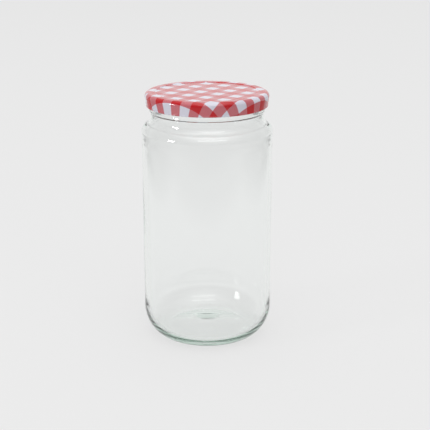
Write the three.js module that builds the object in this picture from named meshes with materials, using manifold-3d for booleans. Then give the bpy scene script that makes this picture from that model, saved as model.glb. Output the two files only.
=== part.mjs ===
// Straight-sided storage jar of clear glass, closed with a metal twist-off lid.
// Millimetres, +Z up. The origin is the middle of the ring that the jar stands on.

import * as THREE from 'three';
import { mergeVertices } from 'three/addons/utils/BufferGeometryUtils.js';
import Module from 'manifold-3d';

// Whole object
const TOTAL_HEIGHT = 175.5;

// Glass body, outside
const PANEL_RADIUS = 45.15;
const HEEL_RADIUS = 45.3;
const SHOULDER_RADIUS = 45.5;
const BEARING_INNER = 27.4;
const BEARING_OUTER = 29.6;
const PUSH_UP = 2.2;
const HEEL_HEIGHT = 21.4;
const HEEL_ROUNDNESS = 1.95;
const PANEL_LOW = 26.4;
const PANEL_HIGH = 139.4;
const BULGE_LOW = 145.5;
const SHOULDER_SPRING = 147.5;
const SHOULDER_ROUND = 6.75;
const NECK_FILLET = 6.5;
const NECK_RADIUS = 38.9;

// Ring of glass under the lid
const BEAD_RADIUS = 39.68;
const BEAD_LOW = 160.8;
const BEAD_HIGH = 165.6;

// Glass body, inside
const WALL = 2.6;
const FLOOR_MIDDLE = 7.2;
const FLOOR_EDGE_RADIUS = 32;
const FLOOR_EDGE = 5.6;
const INNER_HEEL_HEIGHT = 22;
const INNER_HEEL_ROUNDNESS = 1.9;
const INNER_SHOULDER_SPRING = 147;
const INNER_SHOULDER_ROUND = 5.8;
const INNER_NECK_FILLET = 7.4;
const BORE_RADIUS = 36.4;
const RIM_ROUND = 1.2;

// Lid of sheet metal
const LID_RADIUS = 42.7;
const SKIRT_FOOT_RADIUS = 41.95;
const LID_HEIGHT = 9.9;
const SHEET = 0.3;
const LID_ROUND = 2.9;
const CURL_RADIUS = 0.95;
const CREST_INNER = 36;
const PANEL_DROP = 0.4;
const PANEL_CROWN = 0.1;
const STEP_ROUND = 0.8;
const STEP_ANGLE = 35;

// Thread ribs of the glass and the lugs of the lid that catch under them
const STARTS = 6;
const RIB_LENGTH = 30;
const RIB_DROP = 2;
const RIB_HEIGHT = 1.9;
const RIB_CREST = 0.9;
const RIB_PROUD = 1.2;
const RIB_MIDDLE = 169.9;
const RIB_STEPS = 8;
const LUG_LENGTH = 7;
const LUG_HEIGHT = 1.2;
const LUG_INNER = 39.5;
const LUG_STEPS = 2;
const ROOT = 0.4;

// Free space between the glass and the lid
const GAP = 0.3;

// How finely the curves are divided, and how close two corners are one
const SEGMENTS = 48;
const STEPS = { dome: 3, heel: 7, innerHeel: 5, shoulder: 4, innerShoulder: 3, bead: 6, rim: 2 };
const LID_STEPS = { bend: 2, edge: 4, curl: 7 };
const WELD = 1e-4;

const RIM_TOP = TOTAL_HEIGHT - SHEET - GAP;
const LID_BOTTOM = TOTAL_HEIGHT - LID_HEIGHT;

const radians = THREE.MathUtils.degToRad;
const at = (radius, height) => new THREE.Vector2(radius, height);

// Points of a round arc in the plane of radius and height.
function arc(radius, height, size, fromDegrees, toDegrees, steps) {
  const clockwise = toDegrees < fromDegrees;
  const curve = new THREE.EllipseCurve(
    radius, height, size, size, radians(fromDegrees), radians(toDegrees), clockwise);
  return curve.getPoints(steps);
}

// A shallow dome of revolution, from its middle out to its edge.
function dome(middleHeight, edgeRadius, edgeHeight) {
  const points = [];
  for (let i = 0; i <= STEPS.dome; i++) {
    const share = i / STEPS.dome;
    const height = THREE.MathUtils.lerp(middleHeight, edgeHeight, share * share);
    points.push(at(edgeRadius * share, height));
  }
  return points;
}

// The rounded lower corner: a quarter of a superellipse, flat below and upright above.
function corner(low, high, roundness, steps) {
  const points = [];
  const power = 2 / roundness;
  for (let i = 0; i <= steps; i++) {
    const turn = (Math.PI / 2) * (i / steps);
    const out = Math.sin(turn) ** power;
    const up = 1 - Math.abs(Math.cos(turn)) ** power;
    points.push(at(low.x + (high.x - low.x) * out, low.y + (high.y - low.y) * up));
  }
  return points;
}

// An S-shaped shoulder: a convex arc that leaves the wall, then a hollow fillet into the neck.
function shoulder(wallRadius, springHeight, round, neckRadius, fillet, steps) {
  const roundMiddle = wallRadius - round;
  const reach = round + fillet;
  const turn = THREE.MathUtils.radToDeg(Math.acos((neckRadius + fillet - roundMiddle) / reach));
  const filletHeight = springHeight + reach * Math.sin(radians(turn));
  const convex = arc(roundMiddle, springHeight, round, 0, turn, steps);
  const hollow = arc(neckRadius + fillet, filletHeight, fillet, 180 + turn, 180, steps);
  return [...convex, ...hollow.slice(1)];
}

// The raised ring below the lid, a soft wave that stands on the neck.
function bead() {
  const points = [];
  for (let i = 0; i <= STEPS.bead; i++) {
    const share = i / STEPS.bead;
    const rise = (1 - Math.cos(2 * Math.PI * share)) / 2;
    const radius = THREE.MathUtils.lerp(NECK_RADIUS, BEAD_RADIUS, rise);
    points.push(at(radius, THREE.MathUtils.lerp(BEAD_LOW, BEAD_HIGH, share)));
  }
  return points;
}

// The whole section of the glass, from the middle of the underside round to the middle of the floor.
function jarProfile() {
  const underside = dome(PUSH_UP, BEARING_INNER, 0);
  const heel = corner(
    at(BEARING_OUTER, 0), at(HEEL_RADIUS, HEEL_HEIGHT), HEEL_ROUNDNESS, STEPS.heel);
  const panel = [
    at(PANEL_RADIUS, PANEL_LOW),
    at(PANEL_RADIUS, PANEL_HIGH),
    at(SHOULDER_RADIUS, BULGE_LOW),
  ];
  const outerShoulder = shoulder(
    SHOULDER_RADIUS, SHOULDER_SPRING, SHOULDER_ROUND,
    NECK_RADIUS, NECK_FILLET, STEPS.shoulder);
  const rimHeight = RIM_TOP - RIM_ROUND;
  const rim = [
    ...arc(NECK_RADIUS - RIM_ROUND, rimHeight, RIM_ROUND, 0, 90, STEPS.rim),
    ...arc(BORE_RADIUS + RIM_ROUND, rimHeight, RIM_ROUND, 90, 180, STEPS.rim),
  ];
  const innerShoulder = shoulder(
    SHOULDER_RADIUS - WALL, INNER_SHOULDER_SPRING, INNER_SHOULDER_ROUND,
    BORE_RADIUS, INNER_NECK_FILLET, STEPS.innerShoulder).reverse();
  const innerWall = PANEL_RADIUS - WALL;
  const innerHeel = corner(
    at(FLOOR_EDGE_RADIUS, FLOOR_EDGE), at(innerWall, INNER_HEEL_HEIGHT),
    INNER_HEEL_ROUNDNESS, STEPS.innerHeel).reverse();
  const floor = dome(FLOOR_MIDDLE, FLOOR_EDGE_RADIUS, FLOOR_EDGE).reverse();
  return [
    ...underside,
    ...heel,
    ...panel,
    ...outerShoulder,
    ...bead(),
    ...rim,
    ...innerShoulder,
    at(innerWall, PANEL_HIGH),
    ...innerHeel,
    ...floor.slice(1),
  ];
}

// One side of the sheet of the lid, from its middle out to the top of the skirt.
// The depth is measured from the outer face: none gives the outside, one sheet the underside.
function lidFace(depth) {
  const turn = radians(STEP_ANGLE);
  const bendDrop = STEP_ROUND * (1 - Math.cos(turn));
  const slope = (PANEL_DROP - 2 * bendDrop) / Math.tan(turn);
  const stepWidth = 2 * STEP_ROUND * Math.sin(turn) + slope;
  const panelRadius = CREST_INNER - stepWidth;
  const panelHeight = TOTAL_HEIGHT - PANEL_DROP;
  const panel = dome(panelHeight + PANEL_CROWN - depth, panelRadius, panelHeight - depth);
  const lowBend = arc(
    panelRadius, panelHeight + STEP_ROUND, STEP_ROUND + depth,
    -90, -90 + STEP_ANGLE, LID_STEPS.bend);
  const highBend = arc(
    CREST_INNER, TOTAL_HEIGHT - STEP_ROUND, STEP_ROUND - depth,
    90 + STEP_ANGLE, 90, LID_STEPS.bend);
  const edge = arc(
    LID_RADIUS - LID_ROUND, TOTAL_HEIGHT - LID_ROUND, LID_ROUND - depth,
    90, 0, LID_STEPS.edge);
  return [...panel, ...lowBend.slice(1), ...highBend, ...edge];
}

// The whole section of the lid, with the rolled edge at the foot of its skirt.
function lidProfile() {
  const curlRadius = SKIRT_FOOT_RADIUS - CURL_RADIUS;
  const curlHeight = LID_BOTTOM + CURL_RADIUS;
  const meet = THREE.MathUtils.radToDeg(Math.acos((CURL_RADIUS - SHEET) / CURL_RADIUS));
  const curl = arc(curlRadius, curlHeight, CURL_RADIUS, meet, 360, LID_STEPS.curl);
  return [...lidFace(SHEET), ...curl, ...lidFace(0).reverse()];
}

// A solid of revolution about Z.
function turned(profile) {
  const geometry = new THREE.LatheGeometry(profile, SEGMENTS);
  return geometry.rotateX(Math.PI / 2);
}

// A bar bent round Z: x runs clockwise along the arc, y outwards and z up. Its outer face may be
// lower than its root, and its middle line falls by the given drop from end to end.
function bentBar({ length, inner, outer, rootHeight, crestHeight, middle, drop, angle, steps }) {
  const bar = new THREE.BoxGeometry(length, outer - inner, 1, steps, 1, 1);
  const place = bar.getAttribute('position');
  for (let i = 0; i < place.count; i++) {
    const along = place.getX(i);
    const isOuter = place.getY(i) > 0;
    const turn = angle + along / outer;
    const radius = isOuter ? outer : inner;
    const height = place.getZ(i) * (isOuter ? crestHeight : rootHeight);
    const fall = drop * (along / length);
    place.setXYZ(i, radius * Math.sin(turn), radius * Math.cos(turn), middle - fall + height);
  }
  return bar;
}

const wasm = await Module();
wasm.setup();

// A closed geometry as a solid that can be joined.
function toSolid(geometry) {
  geometry.deleteAttribute('normal');
  geometry.deleteAttribute('uv');
  const merged = mergeVertices(geometry, WELD);
  return new wasm.Manifold(new wasm.Mesh({
    numProp: 3,
    vertProperties: merged.getAttribute('position').array,
    triVerts: new Uint32Array(merged.index.array),
  }));
}

// A joined solid as a geometry again.
function toGeometry(solid) {
  const mesh = solid.getMesh();
  const geometry = new THREE.BufferGeometry();
  geometry.setAttribute('position', new THREE.BufferAttribute(mesh.vertProperties, 3));
  geometry.setIndex(new THREE.BufferAttribute(mesh.triVerts, 1));
  geometry.computeVertexNormals();
  return geometry;
}

// A turned body with one bar for each start of the thread.
function withBars(profile, bar) {
  let solid = toSolid(turned(profile));
  for (let i = 0; i < STARTS; i++) {
    const angle = (2 * Math.PI * i) / STARTS + bar.turn;
    solid = solid.add(toSolid(bentBar({ ...bar, angle })));
  }
  return toGeometry(solid);
}

const rib = {
  length: RIB_LENGTH,
  inner: NECK_RADIUS - ROOT,
  outer: NECK_RADIUS + RIB_PROUD,
  rootHeight: RIB_HEIGHT,
  crestHeight: RIB_CREST,
  middle: RIB_MIDDLE,
  drop: RIB_DROP,
  steps: RIB_STEPS,
  turn: 0,
};

const lug = {
  length: LUG_LENGTH,
  inner: LUG_INNER,
  outer: SKIRT_FOOT_RADIUS - CURL_RADIUS,
  rootHeight: LUG_HEIGHT,
  crestHeight: LUG_HEIGHT,
  middle: LID_BOTTOM + CURL_RADIUS,
  drop: 0,
  steps: LUG_STEPS,
  turn: (RIB_LENGTH - LUG_LENGTH) / 2 / NECK_RADIUS,
};

const glass = new THREE.MeshStandardMaterial({
  color: 0xdde6df, roughness: 0.03, metalness: 0, transparent: true, opacity: 0.35,
});
const printedTin = new THREE.MeshStandardMaterial({ color: 0xc2565d, roughness: 0.3, metalness: 0.1 });

const jarMesh = new THREE.Mesh(withBars(jarProfile(), rib), glass);
jarMesh.name = 'glass_jar';

const lidMesh = new THREE.Mesh(withBars(lidProfile(), lug), printedTin);
lidMesh.name = 'lid';

const storageJar = new THREE.Group();
storageJar.add(jarMesh, lidMesh);

export default storageJar;
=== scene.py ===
import math

import bpy
import numpy as np
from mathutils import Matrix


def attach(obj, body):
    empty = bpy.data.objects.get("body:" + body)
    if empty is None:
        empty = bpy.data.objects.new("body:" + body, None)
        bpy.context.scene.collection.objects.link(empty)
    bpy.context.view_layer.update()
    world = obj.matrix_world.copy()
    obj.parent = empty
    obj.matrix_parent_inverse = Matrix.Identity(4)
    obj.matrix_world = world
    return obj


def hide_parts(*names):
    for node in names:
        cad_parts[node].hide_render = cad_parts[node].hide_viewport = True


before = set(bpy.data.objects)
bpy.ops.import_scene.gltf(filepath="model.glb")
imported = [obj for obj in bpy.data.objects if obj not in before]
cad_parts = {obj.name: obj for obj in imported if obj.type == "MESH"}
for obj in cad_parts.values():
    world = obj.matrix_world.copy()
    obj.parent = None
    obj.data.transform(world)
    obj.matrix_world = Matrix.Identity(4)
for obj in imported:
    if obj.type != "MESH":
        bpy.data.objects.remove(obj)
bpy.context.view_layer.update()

# Sizes of the pieces in millimetres, as in the solids. MM turns them into metres.
MM = 0.001
SAME_POINT = 1e-6
TOTAL_HEIGHT = 175.5

# Glass body, outside
PANEL_RADIUS = 45.15
HEEL_RADIUS = 45.3
SHOULDER_RADIUS = 45.5
BEARING_INNER = 27.4
BEARING_OUTER = 29.6
PUSH_UP = 2.2
HEEL_HEIGHT = 21.4
HEEL_ROUNDNESS = 1.95
PANEL_LOW = 26.4
PANEL_HIGH = 139.4
BULGE_LOW = 145.5
SHOULDER_SPRING = 147.5
SHOULDER_ROUND = 6.75
NECK_FILLET = 6.5
NECK_RADIUS = 38.9

# Ring of glass under the lid
BEAD_RADIUS = 39.68
BEAD_LOW = 160.8
BEAD_HIGH = 165.6

# Glass body, inside
WALL = 2.6
FLOOR_MIDDLE = 7.2
DIMPLE_DEPTH = 0.6
DIMPLE_RADIUS = 12
FLOOR_EDGE_RADIUS = 32
FLOOR_EDGE = 5.6
INNER_HEEL_HEIGHT = 22
INNER_HEEL_ROUNDNESS = 1.9
INNER_SHOULDER_SPRING = 147
INNER_SHOULDER_ROUND = 5.8
INNER_NECK_FILLET = 7.4
BORE_RADIUS = 36.4
RIM_ROUND = 1.2
RIM_TOP = 174.9

# Slow waves of the inner wall: share of the depth, waves round the jar, turn per millimetre up, start
WAVE_DEPTH = 0.03
WAVE_TOP = 156
WALL_WAVES = ((1, 2, 0.031, 0.7), (0.6, 3, -0.052, 2.1), (0.35, 7, 0.11, 0))

# Lid of sheet metal
LID_RADIUS = 42.7
SKIRT_FOOT_RADIUS = 41.95
LID_BOTTOM = 165.6
SHEET = 0.3
LID_ROUND = 2.9
CURL_RADIUS = 0.95
CREST_INNER = 36
PANEL_DROP = 0.4
PANEL_CROWN = 0.1
STEP_ROUND = 0.8
STEP_ANGLE = 35

# Thread ribs of the glass, fully proud over a share of half their height and of their arc to each side
STARTS = 6
RIB_ARC = 43
RIB_DROP = 2
RIB_HALF_HEIGHT = 0.95
RIB_PROUD = 1.2
RIB_MIDDLE = 169.9
RIB_HEIGHT_SHARE = 0.35
RIB_ARC_SHARE = 0.4
NECK_TOLERANCE = 0.01

# Lugs of the lid, fully pressed over a share of their arc to each side
LUG_ARC = 10
LUG_DEPTH = 0.6
LUG_TURN = -17
LUG_ARC_SHARE = 0.3
LUG_INSET = 0.6

# Steps of the meshes, round the axis and then along each stretch of the profiles
SEGMENTS = 192
DOME_STEPS = 24
HEEL_STEPS = 32
HEEL_END_STEPS = 6
WALL_STEPS = 24
BULGE_STEPS = 8
SHOULDER_STEPS = 14
NECK_STEPS = 8
BEAD_STEPS = 24
THREAD_STEPS = 32
RIM_STEPS = 6
FLOOR_STEPS = 64
BEND_STEPS = 8
LID_EDGE_STEPS = 16
SKIRT_STEPS = 14
CURL_STEPS = 28
PRINTED_CURL_STEPS = 20

# Glass: faintly green where it is thick, with a very slight ripple
GLASS_IOR = 1.52
GREEN = (0.05, 0.6, 0.32, 1)
GREEN_DENSITY = 5.5
RIPPLE_SCALE = 55
RIPPLE_DETAIL = 2
RIPPLE_STRENGTH = 0.015
RIPPLE_DISTANCE = 0.0004

# Gingham print, with its sizes in millimetres on the flat sheet before the lid is pressed
RED = (0.6, 0.008, 0.014, 1)
WHITE = (0.78, 0.77, 0.87, 1)
CHECK_PERIOD = 14.4
CHECK_TURN = -34.4
CHECK_SHIFT = (0.5, 0.35)
CHECK_SHARPNESS = 9
THREAD_PITCH = 0.55
THREAD_RED = 0.79
THREAD_CHANGE = 0.12

# White lining of the lid
LINING_GRAIN = 300
LINING_DARK = (0.78, 0.78, 0.76, 1)
LINING_PALE = (0.84, 0.84, 0.82, 1)

# Camera: the photograph is 430 pixels wide
FRAME_PIXELS = 430
FOCAL_PIXELS = 1050
SENSOR = 36
CAMERA_PLACE = (0, -710.6, 308.4)
CAMERA_DOWN = 17.33
CAMERA_RIGHT = 0.44

# Ground, sizes in metres: a field of painted light round the jar with a curved front, which widens to the
# back. The field glows, which fills in most of the jar's shadow; outside it the ground has no glow and
# shows darker
GROUND_SIZE = 24
GROUND_HEIGHT = -0.0002
# Base colour of the ground in the field, low under its painted glow, and further out
NEAR_TONE = 0.15
FAR_TONE = 0.4
FIELD_MIDDLE = 0.45
FIELD_RADIUS = 0.75
FIELD_SIDE = 0.36
FIELD_BEND = 0.75
FIELD_SPREAD = 2.5
FIELD_EDGE = 0.12
# Painted glow of the field, standing in for light on the ground, and how much it fades for each metre to
# the back
PAINTED_GLOW = 0.685
PAINTED_GLOW_FADE = 0.01

# Light of the room by direction, to the back and up: a place from -1 to 1, then its brightness there
BACK_LIGHT = ((-1, 0.05), (-0.3, 0.12), (0.3, 0.4), (0.8, 0.65), (1, 0.95))
TOP_LIGHT = ((-1, 0), (0.8, 0), (0.92, 0.6), (1, 1.3))

# Broad soft light of the room from above the front
KEY_DIRECTION = (0.1, -0.5, 0.86)
KEY_LIGHT = 1.5
KEY_FOCUS = 5

# Strip light above and behind the camera, in metres, watts and degrees
STRIP_SIZE = (1.6, 0.22)
STRIP_POWER = 2.8
STRIP_PLACE = (0.25, -1.4, 1.6)
STRIP_TILT = 44
STRIP_TURN = 10

# Side light of two panes on the left: each pane's offset and width in metres, then the light's other values
SIDE_PANES = ((-0.15, 0.1), (0.05, 0.22))
SIDE_HEIGHT = 0.45
SIDE_POWER = 60
SIDE_PLACE = (-1.78, -0.83, 0.6)
SIDE_TURN = -65
SIDE_TILT = 77

# How often a light path may be bent or mirrored, enough for all the walls of the glass
BOUNCES = 32


def arc(radius, height, size, start, end, steps):
    """Points of a round arc, with its angles in degrees."""
    turns = np.radians(np.linspace(start, end, steps + 1))
    return [(radius + size * math.cos(t), height + size * math.sin(t)) for t in turns]


def dome(middle, edge_radius, edge, steps=DOME_STEPS):
    """A shallow dome from its middle out to its edge."""
    shares = np.linspace(0, 1, steps + 1)
    return [(edge_radius * s, middle + (edge - middle) * s * s) for s in shares]


def corner(low, high, roundness):
    """A quarter of a superellipse, flat below and upright above."""
    power = 2 / roundness
    points = []
    for turn in np.linspace(0, math.pi / 2, HEEL_STEPS + 1):
        out = math.sin(turn) ** power
        up = 1 - abs(math.cos(turn)) ** power
        points.append((low[0] + (high[0] - low[0]) * out, low[1] + (high[1] - low[1]) * up))
    return points


def blend(low, high, steps):
    """An S-shaped change of radius between two points."""
    points = []
    for share in np.linspace(0, 1, steps + 1):
        ease = share * share * (3 - 2 * share)
        points.append((low[0] + (high[0] - low[0]) * ease, low[1] + (high[1] - low[1]) * share))
    return points


def straight(low, high, steps):
    """Evenly spaced points from one end of a line to the other."""
    return [tuple(p) for p in np.linspace(low, high, steps + 1)]


def shoulder(wall_radius, spring, size, neck_radius, fillet):
    """A convex arc that leaves the wall, then a hollow fillet into the neck."""
    middle = wall_radius - size
    reach = size + fillet
    turn = math.degrees(math.acos((neck_radius + fillet - middle) / reach))
    fillet_height = spring + reach * math.sin(math.radians(turn))
    convex = arc(middle, spring, size, 0, turn, SHOULDER_STEPS)
    hollow = arc(neck_radius + fillet, fillet_height, fillet, 180 + turn, 180, SHOULDER_STEPS)
    return convex + hollow[1:]


def bead():
    """The raised ring below the lid, a soft wave on the neck."""
    points = []
    for share in np.linspace(0, 1, BEAD_STEPS + 1):
        rise = (1 - math.cos(2 * math.pi * share)) / 2
        radius = NECK_RADIUS + (BEAD_RADIUS - NECK_RADIUS) * rise
        points.append((radius, BEAD_LOW + (BEAD_HIGH - BEAD_LOW) * share))
    return points


def dimple(radius):
    """Depth of the shallow dimple in the middle of the floor."""
    share = min(radius / DIMPLE_RADIUS, 1)
    return DIMPLE_DEPTH * (1 + math.cos(math.pi * share)) / 2


def without_doubles(points):
    """The same points, without one that repeats the point before it."""
    kept = [points[0]]
    for p in points[1:]:
        if math.dist(p, kept[-1]) > SAME_POINT:
            kept.append(p)
    return kept


def glass_profile():
    """The outer and the inner line of the glass, each from the bottom up."""
    inner_wall = PANEL_RADIUS - WALL
    inner_shoulder = SHOULDER_RADIUS - WALL
    rim_height = RIM_TOP - RIM_ROUND
    outer = dome(PUSH_UP, BEARING_INNER, 0)
    outer += corner((BEARING_OUTER, 0), (HEEL_RADIUS, HEEL_HEIGHT), HEEL_ROUNDNESS)
    outer += blend((HEEL_RADIUS, HEEL_HEIGHT), (PANEL_RADIUS, PANEL_LOW), HEEL_END_STEPS)
    outer += straight((PANEL_RADIUS, PANEL_LOW), (PANEL_RADIUS, PANEL_HIGH), WALL_STEPS)
    outer += blend((PANEL_RADIUS, PANEL_HIGH), (SHOULDER_RADIUS, BULGE_LOW), BULGE_STEPS)
    outer += shoulder(SHOULDER_RADIUS, SHOULDER_SPRING, SHOULDER_ROUND, NECK_RADIUS, NECK_FILLET)
    outer += straight(outer[-1], (NECK_RADIUS, BEAD_LOW), NECK_STEPS)
    outer += bead()
    outer += straight((NECK_RADIUS, BEAD_HIGH), (NECK_RADIUS, rim_height), THREAD_STEPS)
    outer += arc(NECK_RADIUS - RIM_ROUND, rim_height, RIM_ROUND, 0, 90, RIM_STEPS)
    floor = dome(FLOOR_MIDDLE, FLOOR_EDGE_RADIUS, FLOOR_EDGE, FLOOR_STEPS)
    inner = [(r, z - dimple(r)) for r, z in floor]
    inner += corner((FLOOR_EDGE_RADIUS, FLOOR_EDGE), (inner_wall, INNER_HEEL_HEIGHT), INNER_HEEL_ROUNDNESS)
    inner += straight((inner_wall, INNER_HEEL_HEIGHT), (inner_wall, PANEL_HIGH), WALL_STEPS)
    inner += shoulder(
        inner_shoulder, INNER_SHOULDER_SPRING, INNER_SHOULDER_ROUND, BORE_RADIUS, INNER_NECK_FILLET)
    inner += arc(BORE_RADIUS + RIM_ROUND, rim_height, RIM_ROUND, 180, 90, RIM_STEPS)
    return without_doubles(outer), without_doubles(inner)


def lid_face(depth):
    """One face of the lid's sheet, from its middle out to the top of the skirt."""
    turn = math.radians(STEP_ANGLE)
    bend_drop = STEP_ROUND * (1 - math.cos(turn))
    slope = (PANEL_DROP - 2 * bend_drop) / math.tan(turn)
    panel_radius = CREST_INNER - 2 * STEP_ROUND * math.sin(turn) - slope
    panel_height = TOTAL_HEIGHT - PANEL_DROP
    low_bend = panel_height + STEP_ROUND
    high_bend = TOTAL_HEIGHT - STEP_ROUND
    edge_radius = LID_RADIUS - LID_ROUND
    edge_height = TOTAL_HEIGHT - LID_ROUND
    points = dome(panel_height + PANEL_CROWN - depth, panel_radius, panel_height - depth)
    points += arc(panel_radius, low_bend, STEP_ROUND + depth, -90, -90 + STEP_ANGLE, BEND_STEPS)
    points += arc(CREST_INNER, high_bend, STEP_ROUND - depth, 90 + STEP_ANGLE, 90, BEND_STEPS)
    points += arc(edge_radius, edge_height, LID_ROUND - depth, 90, 0, LID_EDGE_STEPS)
    return points


def lid_profile():
    """The outer face down to the foot of the skirt, then the curl and the underside."""
    curl_radius = SKIRT_FOOT_RADIUS - CURL_RADIUS
    curl_height = LID_BOTTOM + CURL_RADIUS
    meet = math.degrees(math.acos((CURL_RADIUS - SHEET) / CURL_RADIUS))
    skirt_top = (LID_RADIUS, TOTAL_HEIGHT - LID_ROUND)
    outside = lid_face(0) + straight(skirt_top, (SKIRT_FOOT_RADIUS, curl_height), SKIRT_STEPS)
    curl = arc(curl_radius, curl_height, CURL_RADIUS, 360, meet, CURL_STEPS)
    underside = lid_face(SHEET)
    underside.reverse()
    return without_doubles(outside), without_doubles(curl + underside)


def ring_points(rings):
    """The points of all rings in one array. The first and the last ring are one point each."""
    return np.concatenate([rings[0, :1], rings[1:-1].reshape(-1, 3), rings[-1, :1]])


def turned_mesh(name, rings):
    """A smooth closed piece of rings. rings is an array of ring, segment and coordinate."""
    points = [tuple(p) for p in ring_points(rings)]
    last_ring = len(rings) - 1

    def index(ring, segment):
        if ring == 0:
            return 0
        if ring == last_ring:
            return len(points) - 1
        return 1 + (ring - 1) * SEGMENTS + segment % SEGMENTS

    faces = []
    for i in range(last_ring):
        for j in range(SEGMENTS):
            around = (index(i, j), index(i, j + 1), index(i + 1, j + 1), index(i + 1, j))
            faces.append(list(dict.fromkeys(around)))
    mesh = bpy.data.meshes.new(name)
    mesh.from_pydata(points, [], faces)
    mesh.validate()
    mesh.shade_smooth()
    piece = bpy.data.objects.new(name, mesh)
    bpy.context.collection.objects.link(piece)
    return piece


def swept(profile, push=None):
    """Rings of the profile about Z, in metres. push adds to the radius of each point."""
    angles = np.linspace(0, 2 * math.pi, SEGMENTS, endpoint=False)
    table = np.array(profile)
    radius = np.repeat(table[:, :1], SEGMENTS, axis=1)
    height = np.repeat(table[:, 1:], SEGMENTS, axis=1)
    if push is not None:
        radius = radius + push(radius, height, angles[None, :])
    rings = np.stack([radius * np.sin(angles), -radius * np.cos(angles), height], axis=-1)
    return rings * MM


def smooth_step(low, high, value):
    """Zero at low, one at high, and a soft ramp between."""
    share = np.clip((value - low) / (high - low), 0, 1)
    return share * share * (3 - 2 * share)


def from_nearest_start(angles, turn):
    """Degrees from the nearest of the evenly spaced thread starts."""
    spacing = 360 / STARTS
    return (np.degrees(angles) - turn + spacing / 2) % spacing - spacing / 2


def thread(radius, height, angles):
    """How far the thread ribs stand out of the neck."""
    off = from_nearest_start(angles, 0)
    middle = RIB_MIDDLE + RIB_DROP * off / RIB_ARC
    across = 1 - smooth_step(RIB_HEIGHT_SHARE * RIB_HALF_HEIGHT, RIB_HALF_HEIGHT, np.abs(height - middle))
    along = 1 - smooth_step(RIB_ARC_SHARE * RIB_ARC, RIB_ARC / 2, np.abs(off))
    outside = (np.abs(radius - NECK_RADIUS) < NECK_TOLERANCE) & (height > BEAD_HIGH)
    return np.where(outside, RIB_PROUD * across * along, 0)


def unevenness(radius, height, angles):
    """The slow waves that pressed and blown glass has on its inner wall."""
    waves = 0
    for share, turns, climb, start in WALL_WAVES:
        waves = waves + share * np.sin(turns * angles + climb * height + start)
    above_floor = smooth_step(FLOOR_EDGE, INNER_HEEL_HEIGHT, height)
    below_neck = 1 - smooth_step(PANEL_HIGH, WAVE_TOP, height)
    return WAVE_DEPTH * waves * above_floor * below_neck


def lugs(radius, height, angles):
    """How far the curl of the lid is pressed inwards at the lugs."""
    off = from_nearest_start(angles, LUG_TURN)
    along = 1 - smooth_step(LUG_ARC_SHARE * LUG_ARC, LUG_ARC / 2, np.abs(off))
    inside = smooth_step(SKIRT_FOOT_RADIUS - LUG_INSET, SKIRT_FOOT_RADIUS - CURL_RADIUS, radius)
    low = 1 - smooth_step(LID_BOTTOM + 2 * CURL_RADIUS, LID_BOTTOM + 3 * CURL_RADIUS, height)
    inner = radius < SKIRT_FOOT_RADIUS - CURL_RADIUS / 2
    return np.where(inner, -LUG_DEPTH * along * low * inside, 0)


def make_glass():
    """The glass as one closed wall."""
    outer, inner = glass_profile()
    inner.reverse()
    rings = np.concatenate([swept(outer, thread), swept(inner, unevenness)])
    return turned_mesh("clear_glass_jar", rings)


def blank_radius(profile):
    """Where each point of the lid lay on the flat sheet, as a distance from its middle."""
    flat_edge = LID_RADIUS - LID_ROUND
    length = 0
    radii = [profile[0][0]]
    for before, after in zip(profile, profile[1:]):
        length += math.dist(before, after)
        if after[0] <= flat_edge and after[1] > TOTAL_HEIGHT - LID_ROUND:
            length = after[0]
        past = max(length - flat_edge, 0)
        radii.append(length if past == 0 else math.sqrt(flat_edge ** 2 + 2 * flat_edge * past))
    return radii


def make_lid():
    """The lid as one closed sheet, with the place of the print, and the number of its lining's faces."""
    outside, underside = lid_profile()
    rings = np.concatenate([swept(outside), swept(underside, lugs)])[::-1]
    piece = turned_mesh("printed_lid", rings)
    blank = swept([(r, 0) for r in blank_radius(outside + underside)])[::-1]
    flat = ring_points(blank)[:, :2] / MM
    layer = piece.data.uv_layers.new(name="print")
    corners = np.empty(len(piece.data.loops), dtype=np.int32)
    piece.data.loops.foreach_get("vertex_index", corners)
    layer.data.foreach_set("uv", flat[corners].ravel())
    return piece, (len(underside) - PRINTED_CURL_STEPS) * SEGMENTS


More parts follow.
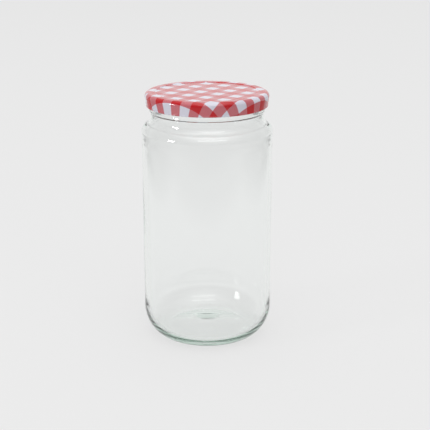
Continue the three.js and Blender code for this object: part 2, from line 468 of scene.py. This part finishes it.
class Nodes:
    """Short ways to add nodes to a material or to the world."""

    def __init__(self, owner, shader="Principled BSDF"):
        owner.use_nodes = True
        self.owner = owner
        self.tree = owner.node_tree
        self.shader = self.tree.nodes[shader]

    def add(self, kind, **settings):
        node = self.tree.nodes.new(kind)
        for key, value in settings.items():
            setattr(node, key, value)
        return node

    def link(self, source, target):
        self.tree.links.new(source, target)

    def feed(self, socket, value):
        """Links an output to the socket, or sets its value."""
        if isinstance(value, bpy.types.NodeSocket):
            self.link(value, socket)
        else:
            socket.default_value = value

    def math(self, operation, *values):
        node = self.add("ShaderNodeMath", operation=operation)
        for socket, value in zip(node.inputs, values):
            self.feed(socket, value)
        return node.outputs[0]

    def clamp(self, value):
        """The value, kept between 0 and 1."""
        return self.math("MINIMUM", self.math("MAXIMUM", value, 0), 1)

    def mix(self, share, first, second, blend_type="MIX"):
        node = self.add("ShaderNodeMix", data_type="RGBA", blend_type=blend_type)
        for index, value in ((0, share), (6, first), (7, second)):
            self.feed(node.inputs[index], value)
        return node.outputs[2]

    def split(self, vector):
        """The X, Y and Z of a vector."""
        node = self.add("ShaderNodeSeparateXYZ")
        self.link(vector, node.inputs[0])
        return node.outputs

    def ramp(self, value, stops):
        """A brightness by a value from -1 to 1. Each stop is a place and its level."""
        spread = self.add("ShaderNodeMapRange")
        spread.inputs["From Min"].default_value = -1
        self.link(value, spread.inputs["Value"])
        node = self.add("ShaderNodeValToRGB")
        self.link(spread.outputs["Result"], node.inputs["Fac"])
        elements = node.color_ramp.elements
        while len(elements) < len(stops):
            elements.new(0.5)
        for element, (place, level) in zip(elements, stops):
            element.position = (place + 1) / 2
            element.color = grey(level)
        return node.outputs["Color"]

    def set(self, **values):
        """Sets inputs of the shader, with _ for each space in their names."""
        for name, value in values.items():
            self.shader.inputs[name.replace("_", " ")].default_value = value


def grey(level):
    """A plain grey of the given brightness."""
    return (level, level, level, 1)


def glass_material():
    """Clear soda-lime glass, faintly green where it is thick."""
    n = Nodes(bpy.data.materials.new("clear_glass"))
    n.set(Base_Color=grey(1), Roughness=0, IOR=GLASS_IOR, Transmission_Weight=1)
    absorption = n.add("ShaderNodeVolumeAbsorption")
    absorption.inputs["Color"].default_value = GREEN
    absorption.inputs["Density"].default_value = GREEN_DENSITY
    n.link(absorption.outputs[0], n.tree.nodes["Material Output"].inputs["Volume"])
    noise = n.add("ShaderNodeTexNoise")
    noise.inputs["Scale"].default_value = RIPPLE_SCALE
    noise.inputs["Detail"].default_value = RIPPLE_DETAIL
    bump = n.add("ShaderNodeBump")
    bump.inputs["Strength"].default_value = RIPPLE_STRENGTH
    bump.inputs["Distance"].default_value = RIPPLE_DISTANCE
    n.link(noise.outputs["Fac"], bump.inputs["Height"])
    n.link(bump.outputs[0], n.shader.inputs["Normal"])
    return n.owner


def print_material():
    """Lacquered tinplate with a woven red and white check."""
    n = Nodes(bpy.data.materials.new("gingham_lacquer"))
    uv = n.add("ShaderNodeUVMap", uv_map="print")
    turn = n.add("ShaderNodeVectorRotate", rotation_type="Z_AXIS")
    turn.inputs["Angle"].default_value = -math.radians(CHECK_TURN)
    n.link(uv.outputs[0], turn.inputs["Vector"])
    place = n.split(turn.outputs[0])
    across, up = place["X"], place["Y"]

    def wave(along, period):
        return n.math("SINE", n.math("MULTIPLY", along, 2 * math.pi / period))

    def stripe(along, shift):
        edge = n.math("MULTIPLY", wave(n.math("SUBTRACT", along, shift), CHECK_PERIOD), CHECK_SHARPNESS)
        return n.clamp(n.math("ADD", edge, 0.5))

    warp = stripe(across, CHECK_SHIFT[0])
    weft = stripe(up, CHECK_SHIFT[1])
    weave = wave(n.math("ADD", across, up), THREAD_PITCH)
    diagonal = n.math("MULTIPLY_ADD", weave, THREAD_CHANGE, THREAD_RED)
    both = n.math("MULTIPLY", warp, weft)
    one = n.math("SUBTRACT", n.math("ADD", warp, weft), n.math("MULTIPLY", both, 2))
    share = n.math("ADD", both, n.math("MULTIPLY", one, diagonal))
    n.link(n.mix(share, WHITE, RED), n.shader.inputs["Base Color"])
    n.set(Roughness=0.3, Specular_IOR_Level=0, Coat_Weight=1, Coat_Roughness=0.06, Coat_IOR=1.55)
    return n.owner


def lining_material():
    """The white lining of the lid."""
    n = Nodes(bpy.data.materials.new("white_lining"))
    noise = n.add("ShaderNodeTexNoise")
    noise.inputs["Scale"].default_value = LINING_GRAIN
    n.link(n.mix(noise.outputs["Fac"], LINING_DARK, LINING_PALE), n.shader.inputs["Base Color"])
    n.set(Roughness=0.35)
    return n.owner


def ground_material():
    """Pale ground with painted light: it glows evenly round the jar, which fills in most of the jar's
    shadow, and is plain and darker further out.
    """
    n = Nodes(bpy.data.materials.new("pale_ground"))
    place = n.split(n.add("ShaderNodeNewGeometry").outputs["Position"])
    x, y = place["X"], place["Y"]
    forward = n.math("MINIMUM", n.math("SUBTRACT", y, FIELD_MIDDLE), 0)
    reach = n.math("SQRT", n.math("ADD", n.math("MULTIPLY", x, x), n.math("MULTIPLY", forward, forward)))
    front = n.math("LESS_THAN", y, FIELD_MIDDLE)
    past_front = n.math("MULTIPLY", n.math("SUBTRACT", reach, FIELD_RADIUS), front)
    behind = n.math("MAXIMUM", n.math("SUBTRACT", y, FIELD_BEND), 0)
    side = n.math("MULTIPLY_ADD", behind, FIELD_SPREAD, FIELD_SIDE)
    past_side = n.math("SUBTRACT", n.math("ABSOLUTE", x), side)
    past = n.math("MAXIMUM", past_front, past_side)
    near = n.math("SUBTRACT", 1, n.clamp(n.math("DIVIDE", past, FIELD_EDGE)))
    # Painted light: the field glows a little less further back, standing in for light on the ground, so the
    # jar's shadow hardly shows
    painted_glow = n.math("MULTIPLY_ADD", y, -PAINTED_GLOW_FADE, PAINTED_GLOW)
    n.link(n.math("MULTIPLY", near, painted_glow), n.shader.inputs["Emission Strength"])
    n.link(n.mix(near, grey(FAR_TONE), grey(NEAR_TONE)), n.shader.inputs["Base Color"])
    n.set(Emission_Color=grey(1), Roughness=0.9, Specular_IOR_Level=0)
    return n.owner


def dress():
    """Makes the pieces and gives each its material and its place in the frame."""
    glass = make_glass()
    glass.data.materials.append(glass_material())
    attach(glass, "root")
    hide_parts("glass_jar")

    lid, lining_faces = make_lid()
    lid.data.materials.append(print_material())
    lid.data.materials.append(lining_material())
    for face in lid.data.polygons[:lining_faces]:
        face.material_index = 1
    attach(lid, "root")
    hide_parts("lid")


def light_room():
    """Light of the room: stronger from behind, from straight above and from above the front."""
    n = Nodes(bpy.data.worlds.new("studio"), "Background")
    direction = n.add("ShaderNodeTexCoord").outputs["Generated"]
    place = n.split(direction)
    back = n.ramp(place["Y"], BACK_LIGHT)
    top = n.ramp(place["Z"], TOP_LIGHT)
    toward = n.add("ShaderNodeVectorMath", operation="DOT_PRODUCT")
    toward.inputs[1].default_value = KEY_DIRECTION
    n.link(direction, toward.inputs[0])
    ahead = n.math("MAXIMUM", toward.outputs["Value"], 0)
    key = n.math("MULTIPLY", n.math("POWER", ahead, KEY_FOCUS), KEY_LIGHT)
    total = n.mix(1, n.mix(1, back, top, "ADD"), key, "ADD")
    n.link(total, n.shader.inputs["Color"])
    bpy.context.scene.world = n.owner


def area_light(name, size, power, place, tilt, turn):
    """A flat light of the given width and height, tilted up from straight down and then turned."""
    lamp = bpy.data.objects.new(name, bpy.data.lights.new(name, "AREA"))
    lamp.data.shape = "RECTANGLE"
    lamp.data.size, lamp.data.size_y = size
    lamp.data.energy = power
    lamp.location = place
    lamp.rotation_euler = (math.radians(tilt), 0, math.radians(turn))
    bpy.context.scene.collection.objects.link(lamp)


def place_camera():
    """The camera at the photograph's place and angle."""
    camera = bpy.data.objects.new("camera", bpy.data.cameras.new("camera"))
    camera.data.sensor_width = SENSOR
    camera.data.lens = SENSOR * FOCAL_PIXELS / FRAME_PIXELS
    camera.location = [MM * c for c in CAMERA_PLACE]
    camera.rotation_euler = (math.radians(90 - CAMERA_DOWN), 0, math.radians(-CAMERA_RIGHT))
    bpy.context.scene.collection.objects.link(camera)
    bpy.context.scene.camera = camera


def stage():
    """The ground, the light and the camera."""
    bpy.ops.mesh.primitive_plane_add(size=GROUND_SIZE, location=(0, 0, GROUND_HEIGHT))
    ground = bpy.context.object
    ground.name = "ground"
    ground.data.materials.append(ground_material())

    light_room()
    area_light("key", STRIP_SIZE, STRIP_POWER, STRIP_PLACE, STRIP_TILT, STRIP_TURN)
    sideways = math.radians(SIDE_TURN)
    x, y, z = SIDE_PLACE
    for offset, width in SIDE_PANES:
        place = (x + offset * math.cos(sideways), y + offset * math.sin(sideways), z)
        power = SIDE_POWER * width * SIDE_HEIGHT
        area_light("side", (width, SIDE_HEIGHT), power, place, SIDE_TILT, SIDE_TURN)
    place_camera()

    scene = bpy.context.scene
    scene.view_settings.view_transform = "Standard"
    scene.cycles.max_bounces = BOUNCES
    scene.cycles.glossy_bounces = BOUNCES
    scene.cycles.transmission_bounces = BOUNCES


dress()
stage()
